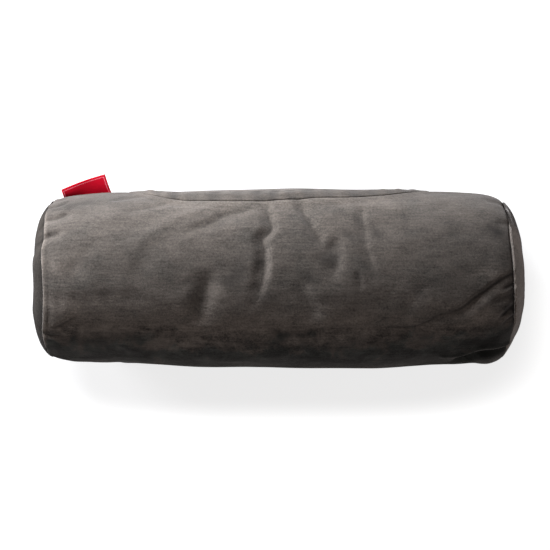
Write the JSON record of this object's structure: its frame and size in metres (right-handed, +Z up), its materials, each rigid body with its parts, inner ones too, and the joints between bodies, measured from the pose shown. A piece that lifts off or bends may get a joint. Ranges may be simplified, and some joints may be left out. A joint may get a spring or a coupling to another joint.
{
  "type": "bolster cushion",
  "caption": "Long round bolster cushion: a filled velvet wrap with domed round end panels, a covered zip along its back seam and a small folded tag",
  "frame": {"origin": "on the surface that the cushion lies on, under the middle of its length and width", "axes": "+X along the cushion from its left end panel to its right one; +Y to its back seam, where the covered zip and the tag are; +Z up"},
  "size_m": [0.5432, 0.2165, 0.188],
  "materials": {
    "velvet": "short-pile velvet",
    "tag": "woven satin"
  },
  "bodies": {
    "root": {"bolster_body": "velvet", "end_panel_left": "velvet", "end_panel_right": "velvet", "zip_placket": "velvet", "label_tag": "tag"}
  },
  "joints": []
}
